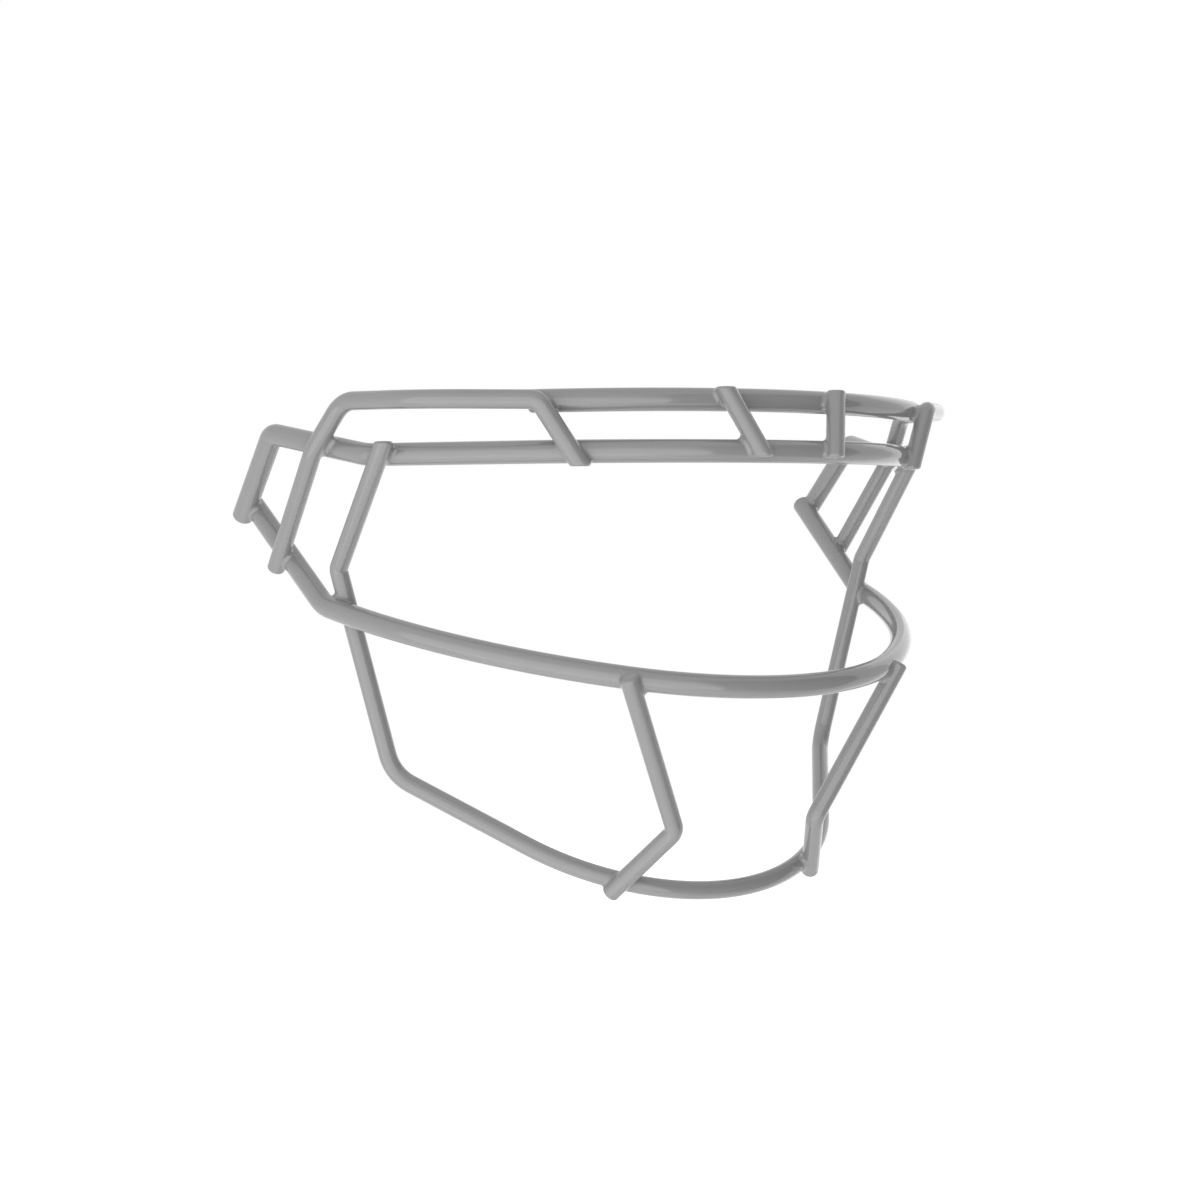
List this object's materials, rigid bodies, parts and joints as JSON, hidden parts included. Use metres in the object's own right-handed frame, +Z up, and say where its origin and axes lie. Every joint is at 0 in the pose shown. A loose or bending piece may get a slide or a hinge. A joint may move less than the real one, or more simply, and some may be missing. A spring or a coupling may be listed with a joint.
{
  "type": "football helmet facemask",
  "caption": "Open cage face guard for a football helmet, welded from bent round steel wire with a smooth grey coat: brow bars, mouth bar, chin bar, side hoops and uprights",
  "frame": {"origin": "centre of the bounding box of the mask", "axes": "+X to the left of the wearer, +Y towards the back of the head, so the mask faces -Y, +Z up"},
  "size_m": [0.219, 0.1397, 0.1446],
  "materials": {
    "coated_bar": "smooth glossy thermoplastic coat over steel rod",
    "coated_upright": "smooth glossy thermoplastic coat over thinner steel rod",
    "coated_weld": "glossy coat drawn smoothly into the welded crossings"
  },
  "bodies": {
    "root": {"mouth_bar": "coated_bar", "lower_brow_bar": "coated_bar", "top_brow_arc": "coated_bar", "chin_bar": "coated_bar", "right_side_hoop": "coated_upright", "right_brow_diagonal": "coated_upright", "right_chin_upright": "coated_upright", "right_weld_brow_leg_to_mouth": "coated_weld", "right_weld_chin_to_brow": "coated_weld", "right_weld_chin_to_mouth": "coated_weld", "right_weld_hoop_to_mouth": "coated_weld", "right_weld_hoop_to_brow_rear": "coated_weld", "right_weld_hoop_to_arc": "coated_weld", "right_weld_hoop_to_brow_front": "coated_weld", "right_weld_diagonal_to_arc": "coated_weld", "right_weld_diagonal_to_brow": "coated_weld", "right_weld_upright_to_mouth": "coated_weld", "right_weld_upright_to_chin": "coated_weld", "left_side_hoop": "coated_upright", "left_brow_diagonal": "coated_upright", "left_chin_upright": "coated_upright", "left_weld_brow_leg_to_mouth": "coated_weld", "left_weld_chin_to_brow": "coated_weld", "left_weld_chin_to_mouth": "coated_weld", "left_weld_hoop_to_mouth": "coated_weld", "left_weld_hoop_to_brow_rear": "coated_weld", "left_weld_hoop_to_arc": "coated_weld", "left_weld_hoop_to_brow_front": "coated_weld", "left_weld_diagonal_to_arc": "coated_weld", "left_weld_diagonal_to_brow": "coated_weld", "left_weld_upright_to_mouth": "coated_weld", "left_weld_upright_to_chin": "coated_weld"}
  },
  "joints": []
}
